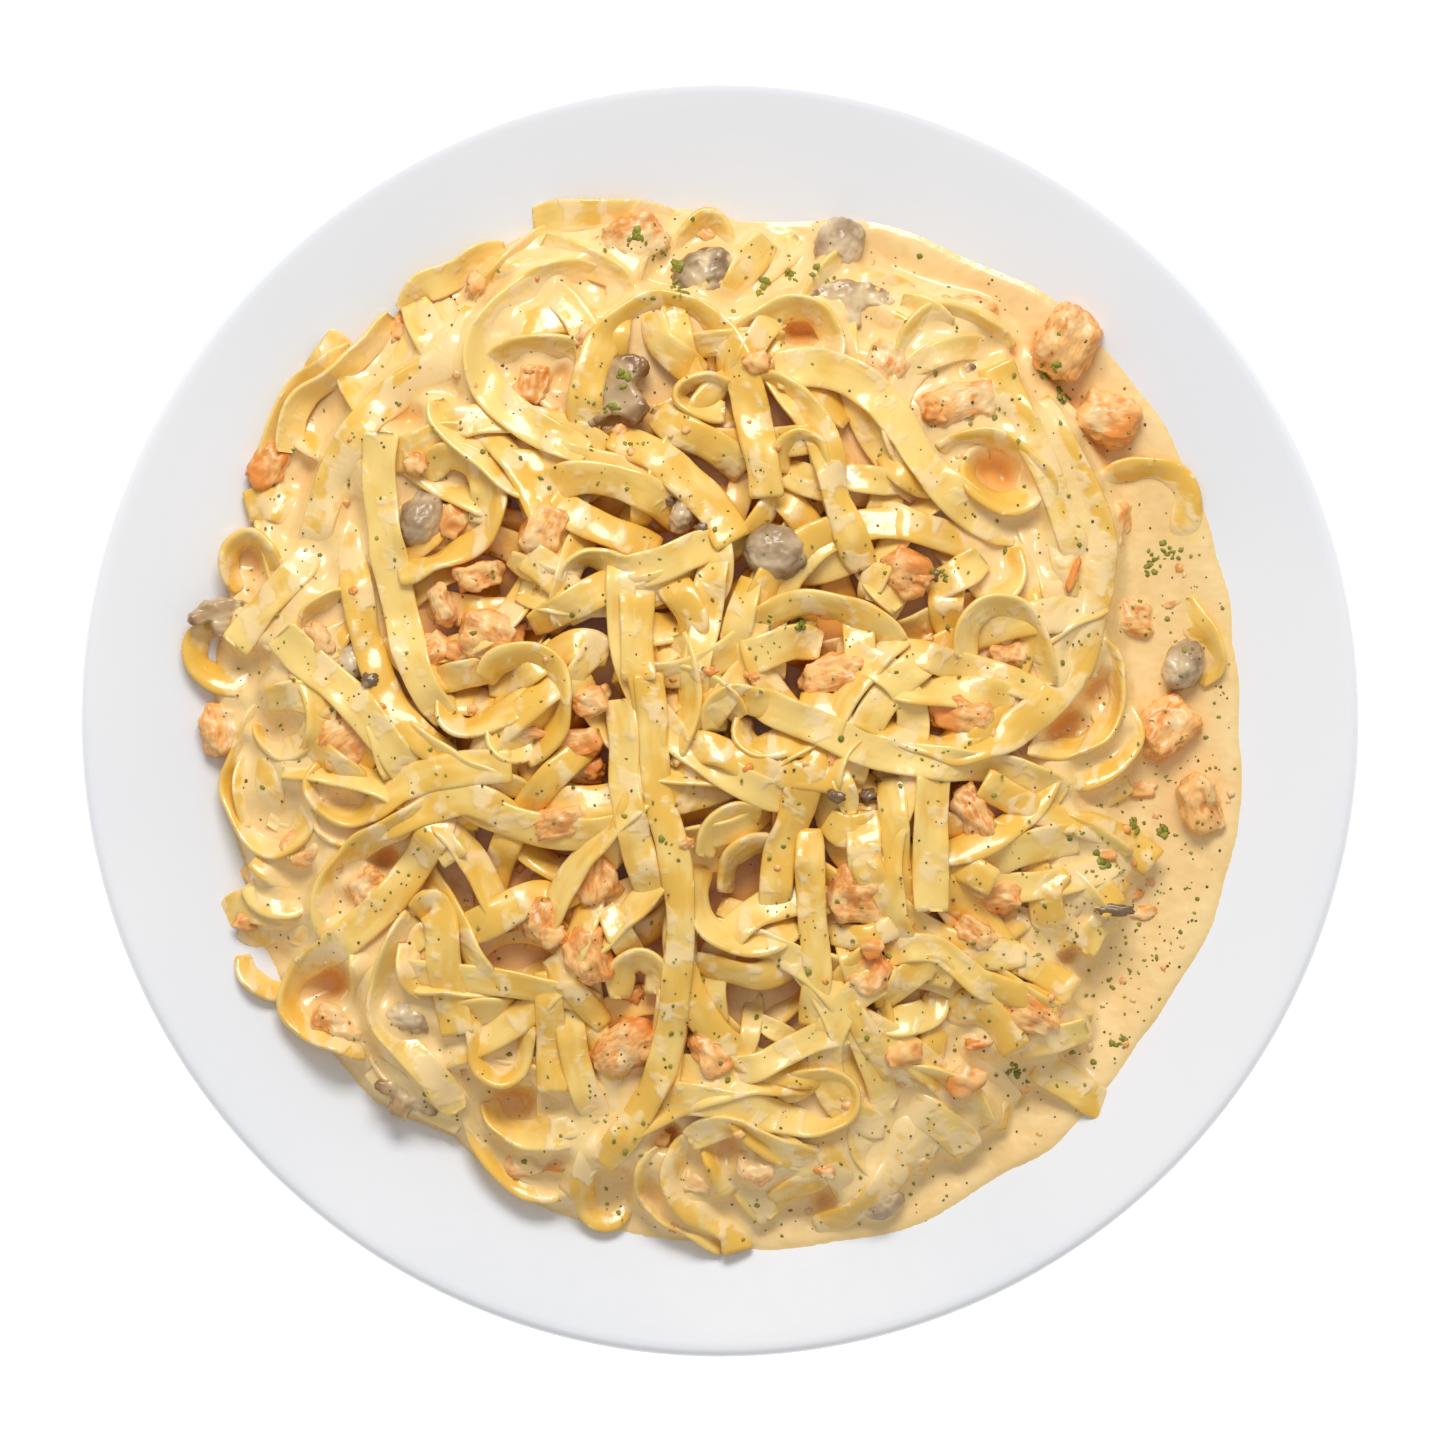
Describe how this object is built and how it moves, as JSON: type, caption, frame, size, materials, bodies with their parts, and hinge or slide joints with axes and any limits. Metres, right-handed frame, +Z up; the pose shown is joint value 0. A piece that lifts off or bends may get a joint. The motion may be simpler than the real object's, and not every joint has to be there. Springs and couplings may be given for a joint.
{
  "type": "fettuccine alfredo on a plate",
  "caption": "Flat ribbon noodles in cream sauce with browned chicken chunks, mushrooms and herbs, heaped on a round white plate.",
  "frame": {"origin": "on the table under the middle of the plate", "axes": "+Z up out of the plate, +Y to the far side of the plate as the picture shows it, +X to its right"},
  "size_m": [0.28, 0.28, 0.045],
  "materials": {
    "plate": "gloss",
    "sauce": "satin",
    "noodles": "satin",
    "chicken": "satin",
    "mushroom": "satin"
  },
  "bodies": {
    "root": {"plate": "plate", "sauce": "sauce", "noodles": "noodles", "chicken_01": "chicken", "chicken_02": "chicken", "chicken_03": "chicken", "chicken_04": "chicken", "chicken_05": "chicken", "chicken_06": "chicken", "chicken_07": "chicken", "chicken_08": "chicken", "chicken_09": "chicken", "chicken_10": "chicken", "chicken_11": "chicken", "chicken_12": "chicken", "chicken_13": "chicken", "chicken_14": "chicken", "chicken_15": "chicken", "chicken_16": "chicken", "chicken_17": "chicken", "chicken_18": "chicken", "chicken_19": "chicken", "chicken_20": "chicken", "chicken_21": "chicken", "chicken_22": "chicken", "chicken_23": "chicken", "chicken_24": "chicken", "chicken_25": "chicken", "chicken_26": "chicken", "chicken_27": "chicken", "chicken_28": "chicken", "chicken_29": "chicken", "chicken_30": "chicken", "chicken_31": "chicken", "chicken_32": "chicken", "chicken_33": "chicken", "chicken_34": "chicken", "chicken_35": "chicken", "chicken_36": "chicken", "chicken_37": "chicken", "chicken_38": "chicken", "chicken_39": "chicken", "chicken_40": "chicken", "chicken_41": "chicken", "chicken_42": "chicken", "chicken_43": "chicken", "mushroom_cap_01": "mushroom", "mushroom_cap_02": "mushroom", "mushroom_cap_03": "mushroom", "mushroom_cap_04": "mushroom", "mushroom_cap_05": "mushroom", "mushroom_cap_06": "mushroom", "mushroom_cap_07": "mushroom", "mushroom_cap_08": "mushroom", "mushroom_cap_09": "mushroom", "mushroom_slice_01": "mushroom", "mushroom_slice_02": "mushroom", "mushroom_slice_03": "mushroom", "mushroom_slice_04": "mushroom"}
  },
  "joints": []
}
